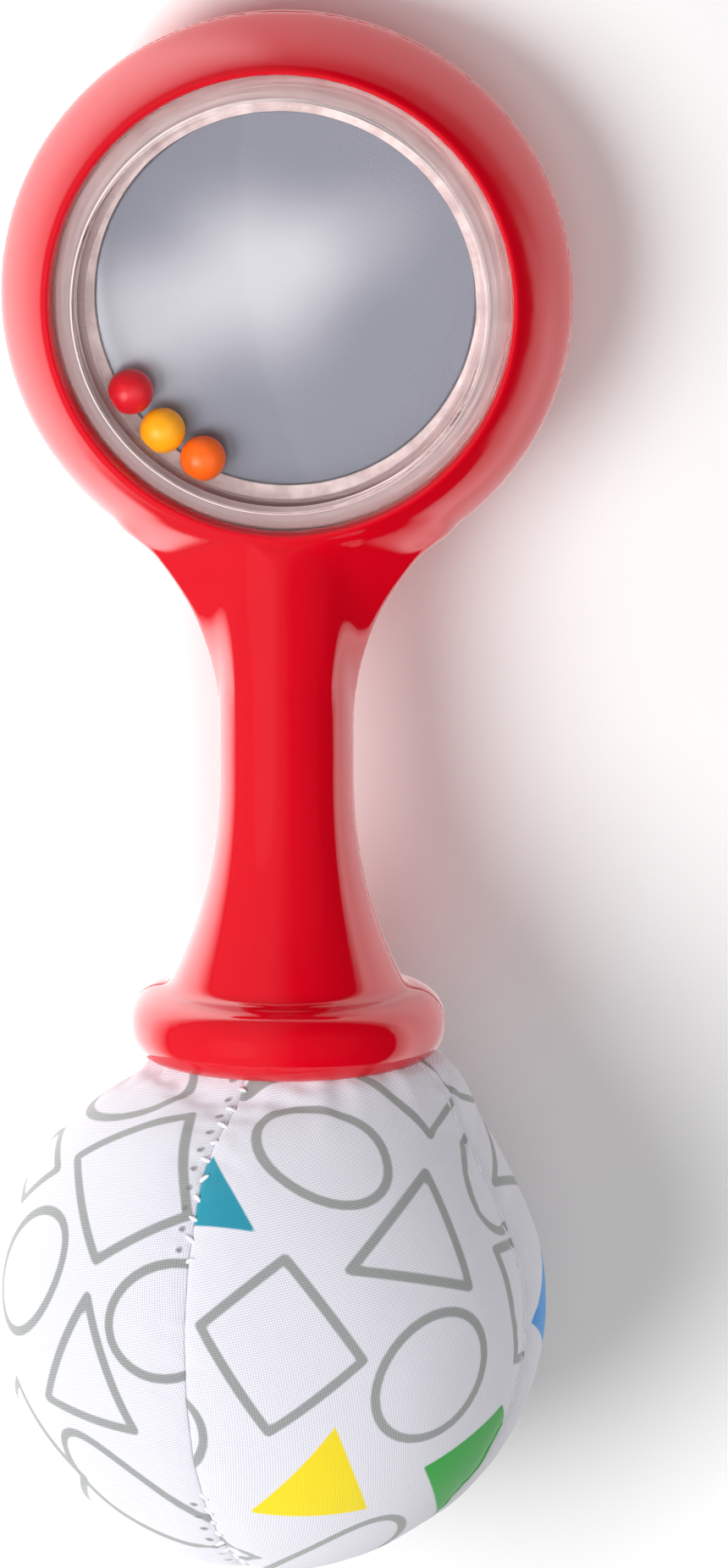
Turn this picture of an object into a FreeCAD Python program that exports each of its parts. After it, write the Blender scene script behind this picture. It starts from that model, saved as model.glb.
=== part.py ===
import FreeCAD, Part
import math
import os

V = FreeCAD.Vector
X_AXIS = V(1, 0, 0)
Y_AXIS = V(0, 1, 0)
Z_AXIS = V(0, 0, 1)
CENTRE = V(0, 0, 0)

# Everything is modelled in a working frame: the origin is the middle of the head, the handle
# runs along -Y, the window looks along +Z and the two red halves part at z = 0.
# Sizes are millimetres.

# Head: a round, shallow case with a window in front and a flat pad behind.
HEAD_R = 29.2
LIP_R = 23.9
LIP_Z = 7.4
LIP_SLOPE = 1.04
REAR_Z = -10.0
PAD_R = 15.7
REAR_BEND_R = 22.0
REAR_BEND_Z = -8.3
REAR_SIDE = 5.0
PAD_EDGE_SLOPE = 0.2
WALL = 2.0
PAD_CORNER_STEP = 0.8
BEND_CORNER_STEP = 1.1
SIDE_HOLLOW_TOP = 1.4
SHOULDER_ROOM = 1.2
BORE_CLEARANCE = 0.1

# Neck and grip.
STEM_R = 6.85
NECK_R = 25.9
NECK_T = 6.8
NECK_LAP = 1.2
NECK_LAP_INSET = 0.5
FLARE_Y = -49.9
FLARE_R = 46.0
COLLAR_TOP_Y = -71.4
COLLAR_BOTTOM_Y = -78.9
COLLAR_R = 16.15
COLLAR_EDGE_R = 3.4
COLLAR_VALLEY_RISE = 0.8

# Collar inside: a slot for the anchor's top flange, a plate, and a recess for the ball's mouth.
SLOT_R = 9.6
SLOT_TOP_Y = -70.4
PLATE_TOP_Y = -72.6
PLATE_BOTTOM_Y = -74.6
PLATE_HOLE_R = 5.25
RECESS_R = 12.6
FLARE_HOLLOW = [(0.9, -58.9), (2.4, -64.4), (4.4, SLOT_TOP_Y)]

# Window, bead chamber and mirror.
BORE_R = 23.3
LENS_TOP_Z = 8.7
LENS_FACE_R = 21.2
LENS_R = 23.2
LENS_CONTACT_Z = 5.4
LENS_T = 2.0
LENS_EDGE_BEVEL = 0.3
CUP_CORNER_BEVEL = 0.6
LIP_EASE = 0.25
GATE = (1.6, 0.6, 2.0)
FLANGE_R = 25.0
FLANGE_TOP_Z = 4.2
FLANGE_T = 1.6
CHAMBER_R = 20.75
MIRROR_R = 19.4
MIRROR_Z = 0.7
MIRROR_T = 1.0
MIRROR_BEVEL = 0.2
CARRIER_T = 1.2
CARRIER_R = 25.6
FIT = 0.05

# Beads: three loose balls that touch the chamber wall.
BEAD_R = 2.325
BEAD_TRACK_R = 18.3
BEAD_LIFT = 0.12
BEAD_ANGLES = {"bead_red": 211.6, "bead_yellow": 227.7, "bead_orange": 243.3}

# Ball: four fabric gores, a crinkle film and a fibre fill, on an axis beside the handle's.
BALL_R = 27.25
BALL_X = -1.5
BALL_Y = -104.0
FABRIC_T = 0.65
FILM_R = 26.35
FILM_T = 0.3
FILL_R = 25.9
MOUTH_R = 10.8
MOUTH_HOLE_R = 8.1
MOUTH_TOP = 28.6
MOUTH_DEPTH = 3.9
MOUTH_LATITUDE = 60.0
FILL_LATITUDE = 62.0
FILM_LATITUDE = 61.0
FIRST_SEAM = -14.5
GORES = ["ball_panel_front", "ball_panel_right", "ball_panel_back", "ball_panel_left"]
SEAMS = ["seam_thread_front_left", "seam_thread_front_right",
         "seam_thread_back_right", "seam_thread_back_left"]
THREAD_R = 0.2
THREAD_GAP = 0.05
THREAD_LATITUDE = 58.0
THREAD_END = -85.0

# Anchor: a spool whose top flange the collar holds and whose bottom flange fills the mouth.
ANCHOR_TOP_R = 9.3
ANCHOR_PLAY = 0.3
ANCHOR_LIFT = 0.1
ANCHOR_NECK_R = 5.0
ANCHOR_FOOT_R = 8.4
ANCHOR_FOOT_Y = -78.5
ANCHOR_FOOT_T = 2.0
TIE_R = 5.75
TIE_CORD_R = 0.6
TIE_Y = -75.7

# Locating pegs on the rear half and their sockets in the front half.
PEG_R = 1.4
PEG_TOP_Z = 2.6
PEG_ROOM = 0.2
SOCKET_R = 2.9
SOCKET_Z = 0.3
PEG_YS = [-33.0, -50.0, -63.0]
SUPPORT_R = 18.6
SUPPORT_T = 1.6

BIG = 200.0


def line(start, end):
    return Part.makeLine(start, end)


def bezier(*poles):
    curve = Part.BezierCurve()
    curve.setPoles(list(poles))
    return curve.toShape()


def arc(start, middle, end):
    return Part.Arc(start, middle, end).toShape()


def turned(edges, axis):
    """A closed outline, swept once round an axis through the origin."""
    face = Part.Face(Part.Wire(edges))
    return face.revolve(CENTRE, axis, 360)


def turned_outline(points, axis):
    """The same for an outline of straight lines, given as (radius, height) pairs."""
    if axis == Z_AXIS:
        corners = [V(radius, 0, height) for radius, height in points]
    else:
        corners = [V(radius, height, 0) for radius, height in points]
    return turned([Part.makePolygon(corners + corners[:1])], axis)


def disc(radius, low, high):
    """A round slab about the window's axis."""
    return Part.makeCylinder(radius, high - low, V(0, 0, low), Z_AXIS)


def barrel(radius, top, bottom):
    """A round slab about the handle's axis."""
    return Part.makeCylinder(radius, top - bottom, V(0, bottom, 0), Y_AXIS)


def neck_centre_y():
    """Height of the neck arcs' centres, where they are tangent to the head and the stem."""
    return -math.sqrt((HEAD_R + NECK_R) ** 2 - (STEM_R + NECK_R) ** 2)


def neck_half_width(y):
    reach = y - neck_centre_y()
    return STEM_R + NECK_R - math.sqrt(NECK_R ** 2 - reach ** 2)


def head_outside():
    side_z = LIP_Z - (HEAD_R - LIP_R) * LIP_SLOPE
    bend = V(REAR_BEND_R, 0, REAR_BEND_Z)
    slope = (REAR_BEND_Z + REAR_SIDE) / (REAR_BEND_R - HEAD_R)
    pull_r = REAR_BEND_R * slope - REAR_BEND_Z + REAR_Z - PAD_R * PAD_EDGE_SLOPE
    pull_r = pull_r / (slope - PAD_EDGE_SLOPE)
    pull_z = REAR_Z + (pull_r - PAD_R) * PAD_EDGE_SLOPE
    edges = [
        line(V(0, 0, REAR_Z), V(0, 0, LIP_Z)),
        line(V(0, 0, LIP_Z), V(LIP_R, 0, LIP_Z)),
        bezier(V(LIP_R, 0, LIP_Z), V(HEAD_R, 0, side_z), V(HEAD_R, 0, 0)),
        bezier(V(HEAD_R, 0, 0), V(HEAD_R, 0, -REAR_SIDE), bend),
        bezier(bend, V(pull_r, 0, pull_z), V(PAD_R, 0, REAR_Z)),
        line(V(PAD_R, 0, REAR_Z), V(0, 0, REAR_Z)),
    ]
    return turned(edges, Z_AXIS)


def head_hollow():
    """The room inside the head, up to the shoulder that the window's flange bears on."""
    return turned_outline([
        (0, REAR_Z + WALL),
        (PAD_R - PAD_CORNER_STEP, REAR_Z + WALL),
        (REAR_BEND_R - BEND_CORNER_STEP, REAR_BEND_Z + WALL),
        (HEAD_R - 2 * WALL, BEND_CORNER_STEP - REAR_SIDE),
        (HEAD_R - WALL, 0),
        (HEAD_R - WALL, SIDE_HOLLOW_TOP),
        (FLANGE_R + SHOULDER_ROOM, FLANGE_TOP_Z - SHOULDER_ROOM),
        (FLANGE_R + BORE_CLEARANCE, FLANGE_TOP_Z + FIT),
        (0, FLANGE_TOP_Z + FIT),
    ], Z_AXIS)


def window_bore():
    """A straight bore that opens a little towards the lip."""
    return turned_outline([
        (0, FLANGE_TOP_Z - 1),
        (BORE_R, FLANGE_TOP_Z - 1),
        (BORE_R, LENS_CONTACT_Z),
        (LIP_R - LIP_EASE, LIP_Z - LIP_EASE),
        (LIP_R + FIT, LIP_Z + FIT),
        (0, LIP_Z + FIT),
    ], Z_AXIS)


def neck(inset):
    """Oval sections from just inside the head down to the round stem."""
    end_y = neck_centre_y()
    meet_y = end_y * HEAD_R / (HEAD_R + NECK_R)
    steps = 8
    wires = []
    heights = [meet_y + (end_y - meet_y) * step / steps for step in range(steps + 1)]
    for y in [meet_y + NECK_LAP] + heights:
        lapped = NECK_LAP_INSET if y > meet_y else 0.0
        half_width = neck_half_width(min(y, meet_y)) - lapped - inset
        part_way = (min(y, meet_y) - meet_y) / (end_y - meet_y)
        half_thick = NECK_T + (STEM_R - NECK_T) * part_way - inset
        oval = Part.Ellipse(V(half_width, y, 0), V(0, y, half_thick), V(0, y, 0))
        if half_width - half_thick < 1e-6:
            oval = Part.Circle(V(0, y, 0), Y_AXIS, half_width)
        wires.append(Part.Wire([oval.toShape()]))
    return Part.makeLoft(wires, True, False)


def grip():
    """Round stem, flare and collar in one outline."""
    start = neck_centre_y()
    axis_x = STEM_R + FLARE_R

    def flare(y):
        return V(axis_x - math.sqrt(FLARE_R ** 2 - (y - FLARE_Y) ** 2), y, 0)

    valley_y = COLLAR_TOP_Y + COLLAR_VALLEY_RISE
    edge_x = COLLAR_R - COLLAR_EDGE_R
    high_y = COLLAR_TOP_Y - COLLAR_EDGE_R
    low_y = COLLAR_BOTTOM_Y + COLLAR_EDGE_R
    round_off = COLLAR_EDGE_R * math.sqrt(0.5)
    rise = math.sqrt(FLARE_R ** 2 - (valley_y - FLARE_Y) ** 2) / (FLARE_Y - valley_y)
    valley_pole = V(flare(valley_y).x + COLLAR_VALLEY_RISE / rise, COLLAR_TOP_Y, 0)
    edges = [
        line(V(0, start, 0), V(STEM_R, start, 0)),
        line(V(STEM_R, start, 0), V(STEM_R, FLARE_Y, 0)),
        arc(V(STEM_R, FLARE_Y, 0), flare((FLARE_Y + valley_y) / 2), flare(valley_y)),
        bezier(flare(valley_y), valley_pole, V(edge_x, COLLAR_TOP_Y, 0)),
        arc(V(edge_x, COLLAR_TOP_Y, 0), V(edge_x + round_off, high_y + round_off, 0),
            V(COLLAR_R, high_y, 0)),
        line(V(COLLAR_R, high_y, 0), V(COLLAR_R, low_y, 0)),
        arc(V(COLLAR_R, low_y, 0), V(edge_x + round_off, low_y - round_off, 0),
            V(edge_x, COLLAR_BOTTOM_Y, 0)),
        line(V(edge_x, COLLAR_BOTTOM_Y, 0), V(0, COLLAR_BOTTOM_Y, 0)),
        line(V(0, COLLAR_BOTTOM_Y, 0), V(0, start, 0)),
    ]
    return turned(edges, Y_AXIS)


def grip_hollow():
    """The room inside the stem and flare, the anchor's slot, the hole and the recess."""
    start = neck_centre_y() + 0.5
    inner_r = STEM_R - WALL
    room = turned_outline([
        (0, start),
        (inner_r, start),
        (inner_r, FLARE_Y),
    ] + [(inner_r + wider, y) for wider, y in FLARE_HOLLOW] + [(0, SLOT_TOP_Y)], Y_AXIS)
    slot = barrel(SLOT_R, SLOT_TOP_Y, PLATE_TOP_Y)
    hole = barrel(PLATE_HOLE_R, PLATE_TOP_Y, PLATE_BOTTOM_Y)
    recess = barrel(RECESS_R, PLATE_BOTTOM_Y, COLLAR_BOTTOM_Y - 1)
    return room.fuse([slot, hole, recess])


def handle_body():
    """Head, neck, grip and collar as one hollow body, before it is parted."""
    outside = head_outside().fuse([neck(0), grip()]).removeSplitter()
    hollow = head_hollow().fuse([neck(WALL), grip_hollow()])
    return outside.cut([hollow, window_bore()])


def half(body, sign):
    low = 0 if sign > 0 else -BIG
    return body.common(Part.makeBox(2 * BIG, 2 * BIG, BIG, V(-BIG, -BIG, low)))


def front_shell(body):
    shell = half(body, 1)
    inside = half(head_outside().fuse([neck(NECK_LAP_INSET), grip()]), 1)
    for y in PEG_YS:
        socket = Part.makeCylinder(SOCKET_R, BIG, V(0, y, SOCKET_Z), Z_AXIS).common(inside)
        shell = shell.fuse(socket)
        shell = shell.cut(Part.makeCylinder(PEG_R + FIT, PEG_TOP_Z + PEG_ROOM, V(0, y, 0), Z_AXIS))
    return shell


def rear_shell(body):
    shell = half(body, -1)
    inside = half(head_outside().fuse([neck(NECK_LAP_INSET), grip()]), -1)
    support = disc(SUPPORT_R, REAR_Z + 1, MIRROR_Z - MIRROR_T - CARRIER_T - FIT)
    support = support.cut(disc(SUPPORT_R - SUPPORT_T, REAR_Z, 0))
    shell = shell.fuse(support)
    for y in PEG_YS:
        peg = Part.makeCylinder(PEG_R, BIG, V(0, y, -BIG), Z_AXIS).common(inside)
        tip = Part.makeCylinder(PEG_R, PEG_TOP_Z, V(0, y, 0), Z_AXIS)
        shell = shell.fuse([peg, tip])
    return shell


def window_lens():
    """A clear cup, open towards the mirror, with a raised face and a flange."""
    floor_z = LENS_TOP_Z - LENS_T
    foot_z = MIRROR_Z + FIT
    cup = turned_outline([
        (0, LENS_TOP_Z),
        (LENS_FACE_R - LENS_EDGE_BEVEL, LENS_TOP_Z),
        (LENS_FACE_R, LENS_TOP_Z - LENS_EDGE_BEVEL),
        (LENS_R, LENS_CONTACT_Z),
        (LENS_R, FLANGE_TOP_Z),
        (FLANGE_R, FLANGE_TOP_Z),
        (FLANGE_R, FLANGE_TOP_Z - FLANGE_T),
        (LENS_R - LENS_EDGE_BEVEL, FLANGE_TOP_Z - FLANGE_T),
        (LENS_R - LENS_EDGE_BEVEL, foot_z),
        (CHAMBER_R, foot_z),
        (CHAMBER_R, floor_z - CUP_CORNER_BEVEL),
        (CHAMBER_R - CUP_CORNER_BEVEL, floor_z),
        (0, floor_z),
    ], Z_AXIS)
    wide, deep, high = GATE
    gate = Part.makeBox(wide, deep, high, V(-wide / 2, LENS_R - deep, LENS_CONTACT_Z))
    return cup.cut(gate)


def mirror_disc():
    """A thin disc with a small bevel round its front edge."""
    return turned_outline([
        (0, MIRROR_Z - MIRROR_T),
        (MIRROR_R, MIRROR_Z - MIRROR_T),
        (MIRROR_R, MIRROR_Z - MIRROR_BEVEL),
        (MIRROR_R - MIRROR_BEVEL, MIRROR_Z),
        (0, MIRROR_Z),
    ], Z_AXIS)


def mirror_carrier():
    """A pale tray that seats the mirror, the lens cup and the lens flange."""
    seat_z = MIRROR_Z - MIRROR_T
    return turned_outline([
        (0, seat_z - CARRIER_T),
        (CARRIER_R, seat_z - CARRIER_T),
        (CARRIER_R, FLANGE_TOP_Z - FLANGE_T - FIT),
        (LENS_R - LENS_EDGE_BEVEL + FIT, FLANGE_TOP_Z - FLANGE_T - FIT),
        (LENS_R - LENS_EDGE_BEVEL + FIT, MIRROR_Z),
        (MIRROR_R + FIT, MIRROR_Z),
        (MIRROR_R + FIT, seat_z),
        (0, seat_z),
    ], Z_AXIS)


def bead(angle):
    turn = math.radians(angle)
    centre = V(math.cos(turn), math.sin(turn), 0) * BEAD_TRACK_R
    centre.z = MIRROR_Z + BEAD_R + BEAD_LIFT
    return Part.makeSphere(BEAD_R, centre)


def ball_anchor():
    neck_top = PLATE_TOP_Y + ANCHOR_LIFT
    top_flange = barrel(ANCHOR_TOP_R, SLOT_TOP_Y - ANCHOR_PLAY, neck_top)
    neck_post = barrel(ANCHOR_NECK_R, neck_top, ANCHOR_FOOT_Y)
    foot = barrel(ANCHOR_FOOT_R, ANCHOR_FOOT_Y, ANCHOR_FOOT_Y - ANCHOR_FOOT_T)
    return top_flange.fuse([neck_post, foot]).removeSplitter()


def mouth_tie():
    return Part.makeTorus(TIE_R, TIE_CORD_R, V(0, TIE_Y, 0), Y_AXIS)


def on_ball(shape):
    shape.translate(V(BALL_X, BALL_Y, 0))
    return shape


def sphere_point(radius, latitude):
    turn = math.radians(latitude)
    return V(radius * math.cos(turn), radius * math.sin(turn), 0)


def ball_skin():
    """The fabric: a sphere whose top draws in to a mouth inside the collar's recess."""
    inner_r = BALL_R - FABRIC_T
    lip_y = MOUTH_TOP - MOUTH_DEPTH
    edges = [
        arc(sphere_point(BALL_R, -90), sphere_point(BALL_R, -15),
            sphere_point(BALL_R, MOUTH_LATITUDE)),
        line(sphere_point(BALL_R, MOUTH_LATITUDE), V(MOUTH_R, lip_y, 0)),
        line(V(MOUTH_R, lip_y, 0), V(MOUTH_R, MOUTH_TOP, 0)),
        line(V(MOUTH_R, MOUTH_TOP, 0), V(MOUTH_HOLE_R, MOUTH_TOP, 0)),
        line(V(MOUTH_HOLE_R, MOUTH_TOP, 0), V(MOUTH_HOLE_R, MOUTH_TOP - FABRIC_T, 0)),
        line(V(MOUTH_HOLE_R, MOUTH_TOP - FABRIC_T, 0),
             V(MOUTH_R - FABRIC_T, MOUTH_TOP - FABRIC_T, 0)),
        line(V(MOUTH_R - FABRIC_T, MOUTH_TOP - FABRIC_T, 0),
             V(MOUTH_R - FABRIC_T, lip_y, 0)),
        line(V(MOUTH_R - FABRIC_T, lip_y, 0), sphere_point(inner_r, MOUTH_LATITUDE)),
        arc(sphere_point(inner_r, MOUTH_LATITUDE), sphere_point(inner_r, -15),
            sphere_point(inner_r, -90)),
        line(sphere_point(inner_r, -90), sphere_point(BALL_R, -90)),
    ]
    return edges


def ball_panel(number):
    """A quarter of the skin, from one seam to the next."""
    face = Part.Face(Part.Wire(ball_skin()))
    face.rotate(CENTRE, Y_AXIS, FIRST_SEAM - 90 + 90 * number)
    return on_ball(face.revolve(CENTRE, Y_AXIS, 90))


def ball_layer(outer_r, inner_r, latitude):
    """A round layer under the skin, cut open at the top around the anchor's foot."""
    layer = Part.makeSphere(outer_r)
    if inner_r:
        layer = layer.cut(Part.makeSphere(inner_r))
    top = outer_r * math.sin(math.radians(latitude))
    above = Part.makeBox(2 * BIG, BIG, 2 * BIG, V(-BIG, top, -BIG))
    return on_ball(layer.cut(above))


def seam_thread(number):
    """The line of thread along one seam, from below the mouth to near the bottom pole."""
    track_r = BALL_R + THREAD_R + THREAD_GAP
    top = sphere_point(track_r, THREAD_LATITUDE)
    path = Part.Wire([arc(top, sphere_point(track_r, 0), sphere_point(track_r, THREAD_END))])
    along = V(math.sin(math.radians(THREAD_LATITUDE)), -math.cos(math.radians(THREAD_LATITUDE)), 0)
    ring = Part.Wire([Part.makeCircle(THREAD_R, top, along)])
    thread = path.makePipe(Part.Face(ring))
    thread.rotate(CENTRE, Y_AXIS, FIRST_SEAM - 90 + 90 * number)
    return on_ball(thread)


def lying_turn():
    """The angle at which the ball and the pad's far edge both touch the ground."""
    reach = PAD_R - BALL_Y
    depth = -REAR_Z
    span = math.hypot(reach, depth)
    return math.asin(BALL_R / span) - math.atan2(depth, reach)


def all_nodes():
    body = handle_body()
    nodes = {
        "front_shell": front_shell(body),
        "rear_shell": rear_shell(body),
        "window_lens": window_lens(),
        "mirror_disc": mirror_disc(),
        "mirror_carrier": mirror_carrier(),
        "ball_anchor": ball_anchor(),
        "mouth_tie": mouth_tie(),
        "fibre_fill": ball_layer(FILL_R, 0, FILL_LATITUDE),
        "crinkle_film": ball_layer(FILM_R, FILM_R - FILM_T, FILM_LATITUDE),
    }
    for name, angle in BEAD_ANGLES.items():
        nodes[name] = bead(angle)
    for number, name in enumerate(GORES):
        nodes[name] = ball_panel(number)
    for number, name in enumerate(SEAMS):
        nodes[name] = seam_thread(number)
    return nodes


def lay_down(nodes):
    """Turn the rattle onto its back, on the ground, with the origin under the middle."""
    turn = lying_turn()
    for shape in nodes.values():
        shape.rotate(CENTRE, X_AXIS, -math.degrees(turn))
        shape.translate(V(0, 0, BALL_R + BALL_Y * math.sin(turn)))
    box = FreeCAD.BoundBox()
    for shape in nodes.values():
        box.add(shape.optimalBoundingBox(False, False))
    middle = V((box.XMin + box.XMax) / 2, (box.YMin + box.YMax) / 2, 0)
    for shape in nodes.values():
        shape.translate(-middle)
    return turn, middle


os.makedirs("parts", exist_ok=True)
NODES = all_nodes()
TURN, MIDDLE = lay_down(NODES)
for node_name, node_shape in NODES.items():
    if not node_shape.isValid() or node_shape.Volume <= 0:
        print("check", node_name, node_shape.isValid(), node_shape.Volume)
    node_shape.exportStep("parts/" + node_name + ".step")
    print(node_name, len(node_shape.Solids), round(node_shape.Volume, 1))
print("turn", math.degrees(TURN), "moved by", MIDDLE, "lift", BALL_R + BALL_Y * math.sin(TURN))
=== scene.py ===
"""Baby rattle: red moulded handle, mirrored head with three beads, sewn fabric ball."""
import math

import bpy
import numpy as np
from mathutils import Matrix, Vector
from mathutils.bvhtree import BVHTree


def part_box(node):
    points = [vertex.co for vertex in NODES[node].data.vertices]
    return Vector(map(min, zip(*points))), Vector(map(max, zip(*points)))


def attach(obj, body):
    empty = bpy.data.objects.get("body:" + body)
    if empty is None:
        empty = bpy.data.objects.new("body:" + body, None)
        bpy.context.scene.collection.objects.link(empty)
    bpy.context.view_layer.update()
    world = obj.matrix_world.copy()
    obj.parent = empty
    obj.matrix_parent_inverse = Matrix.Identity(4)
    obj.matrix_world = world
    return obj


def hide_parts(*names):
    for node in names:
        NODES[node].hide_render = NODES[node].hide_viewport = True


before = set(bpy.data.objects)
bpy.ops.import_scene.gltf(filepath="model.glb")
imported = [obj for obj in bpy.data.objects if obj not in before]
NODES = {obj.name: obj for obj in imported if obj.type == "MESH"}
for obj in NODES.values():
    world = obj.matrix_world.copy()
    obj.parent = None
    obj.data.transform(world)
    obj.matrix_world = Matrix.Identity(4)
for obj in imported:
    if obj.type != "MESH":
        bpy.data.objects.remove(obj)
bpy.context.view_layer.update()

# Pieces are modelled in the rattle's own upright frame, in millimetres: the origin is the middle
# of the head, the handle runs along -Y and the window looks along +Z.
HEAD_R = 29.2
LIP_R = 23.9
LIP_Z = 7.4
BALL_R = 27.25
BALL_X = -1.5
BALL_Y = -104.0
MIRROR_Z = 0.7
PAD_R = 15.7
PAD_DEPTH = 10.0
MM = 0.001


def lying_turn():
    """The angle at which the ball and the far edge of the head's rear pad touch the ground."""
    reach = PAD_R - BALL_Y
    span = math.hypot(reach, PAD_DEPTH)
    return math.asin(BALL_R / span) - math.atan2(PAD_DEPTH, reach)


def working_frame():
    """The matrix that lays a piece, modelled upright in millimetres, where the frame has it."""
    turn = Matrix.Rotation(-lying_turn(), 4, "X")
    lift = BALL_R * MM + (turn @ Vector((0, -BALL_Y, 0))).z * MM
    low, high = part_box("mirror_disc")
    middle = (low + high) / 2
    return Matrix.Translation((middle.x, middle.y, lift)) @ turn @ Matrix.Scale(MM, 4)


PLACE = working_frame()


def at(x, y, z):
    return PLACE @ Vector((x, y, z))


# ---------------------------------------------------------------- colours and nodes


def shade(code):
    """An sRGB hex colour as linear red, green, blue and full alpha."""
    parts = [int(code[i:i + 2], 16) / 255 for i in (1, 3, 5)]
    return [p / 12.92 if p <= 0.04045 else ((p + 0.055) / 1.055) ** 2.4 for p in parts] + [1.0]


def add(tree, kind, settings=None, **links):
    """A node with its settings and its input values or links."""
    node = tree.nodes.new(kind)
    for name, value in (settings or {}).items():
        setattr(node, name, value)
    for name, value in links.items():
        key = int(name[1:]) if name[1:].isdigit() else name.replace("_", " ")
        socket = node.inputs[key]
        if isinstance(value, bpy.types.NodeSocket):
            tree.links.new(value, socket)
        else:
            socket.default_value = value
    return node


def new_material(name):
    material = bpy.data.materials.new(name)
    material.use_nodes = True
    tree = material.node_tree
    tree.nodes.clear()
    out = tree.nodes.new("ShaderNodeOutputMaterial")
    surface = tree.nodes.new("ShaderNodeBsdfPrincipled")
    tree.links.new(surface.outputs[0], out.inputs[0])
    return material, tree, surface


def set_sockets(surface, **values):
    for name, value in values.items():
        surface.inputs[name.replace("_", " ")].default_value = value


def math_node(tree, operation, *values, clamp=False):
    """One Math node over the values given, and its result."""
    inputs = {"_" + str(place): value for place, value in enumerate(values)}
    return add(tree, "ShaderNodeMath", {"operation": operation, "use_clamp": clamp}, **inputs).outputs[0]


def red_abs():
    """Injection-moulded gloss ABS: deep saturated red under a clean, hard reflection."""
    material, tree, surface = new_material("moulded_red_abs_gloss")
    set_sockets(surface, IOR=1.75)
    place = add(tree, "ShaderNodeTexCoord").outputs["Object"]
    tone = add(tree, "ShaderNodeTexNoise", Vector=place, Scale=60.0, Detail=2.0).outputs[0]
    colour = add(tree, "ShaderNodeMix", {"data_type": "RGBA"}, Factor=tone)
    colour.inputs[6].default_value = shade("#DC041C")
    colour.inputs[7].default_value = shade("#E60620")
    tree.links.new(colour.outputs[2], surface.inputs["Base Color"])
    haze_and_painted_reflection = add(tree, "ShaderNodeTexNoise", Vector=place, Scale=900.0, Detail=3.0).outputs[0]
    rough = add(tree, "ShaderNodeMapRange", Value=haze_and_painted_reflection, To_Min=0.05, To_Max=0.09).outputs[0]
    tree.links.new(rough, surface.inputs["Roughness"])
    peel = add(tree, "ShaderNodeTexNoise", Vector=place, Scale=260.0, Detail=1.0).outputs[0]
    bump = add(tree, "ShaderNodeBump", Strength=0.05, Distance=0.0002, Height=peel).outputs[0]
    tree.links.new(bump, surface.inputs["Normal"])
    return material


WINDOW_FACE_R = 21.2
HIGHLIGHT_LINE_MM = 0.16


def clear_window():
    """Clear polystyrene: its face is polished, and its sloped rim is milky from the mould; a thin bright ring at
    the face's edge is a painted highlight.
    """
    material, tree, surface = new_material("polished_clear_polystyrene")
    set_sockets(surface, Base_Color=shade("#FFFAFA"), Roughness=0.03, IOR=1.2, Transmission_Weight=1.0)
    rim = add(tree, "ShaderNodeBsdfPrincipled", Roughness=0.2, IOR=1.5)
    clear = add(tree, "ShaderNodeBsdfTransparent", Color=shade("#F6F2F2"))
    place = add(tree, "ShaderNodeTexCoord").outputs["Object"]
    upright = add(tree, "ShaderNodeMapping", Vector=place)
    upright.inputs["Location"].default_value = PLACE.inverted().translation * MM
    upright.inputs["Rotation"].default_value = PLACE.inverted().to_euler()
    spot = add(tree, "ShaderNodeSeparateXYZ", Vector=upright.outputs[0])
    flat = add(tree, "ShaderNodeCombineXYZ", X=spot.outputs[0], Y=spot.outputs[1])
    reach = add(tree, "ShaderNodeVectorMath", {"operation": "LENGTH"}, _0=flat.outputs[0])
    milky = add(tree, "ShaderNodeMapRange", Value=reach.outputs["Value"],
                From_Min=(WINDOW_FACE_R - 0.05) * MM, From_Max=(WINDOW_FACE_R + 0.1) * MM,
                To_Min=0.0, To_Max=0.5).outputs[0]
    aside = math_node(tree, "SUBTRACT", reach.outputs["Value"], (WINDOW_FACE_R + 0.05) * MM)
    # A thin near-white ring at the edge of the face, also made a little milky: a painted highlight.
    painted_highlight = add(tree, "ShaderNodeMapRange", Value=math_node(tree, "ABSOLUTE", aside),
               From_Min=HIGHLIGHT_LINE_MM * MM, From_Max=HIGHLIGHT_LINE_MM * MM / 3).outputs[0]
    colour = add(tree, "ShaderNodeMix", {"data_type": "RGBA"}, Factor=painted_highlight)
    colour.inputs[6].default_value = shade("#CAB4B4")
    colour.inputs[7].default_value = shade("#FFF2F2")
    tree.links.new(colour.outputs[2], rim.inputs["Base Color"])
    milky = math_node(tree, "MAXIMUM", milky, math_node(tree, "MULTIPLY", painted_highlight, 0.85))
    hazed = add(tree, "ShaderNodeMixShader", _0=milky, _1=surface.outputs[0], _2=rim.outputs[0])
    path = add(tree, "ShaderNodeLightPath").outputs["Is Shadow Ray"]
    both = add(tree, "ShaderNodeMixShader", _0=path, _1=hazed.outputs[0], _2=clear.outputs[0])
    out = next(node for node in tree.nodes if node.type == "OUTPUT_MATERIAL")
    tree.links.new(both.outputs[0], out.inputs[0])
    return material


# Each painted reflection, a soft bright patch painted into the film's colour: across, up, reach and strength, in
# the working frame's mm.
MIRROR_PAINTED_REFLECTIONS = ((2.0, 4.5, 17.0, 1.0), (-12.0, -3.0, 15.0, 0.75), (13.0, 9.0, 12.0, 0.4))


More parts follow.
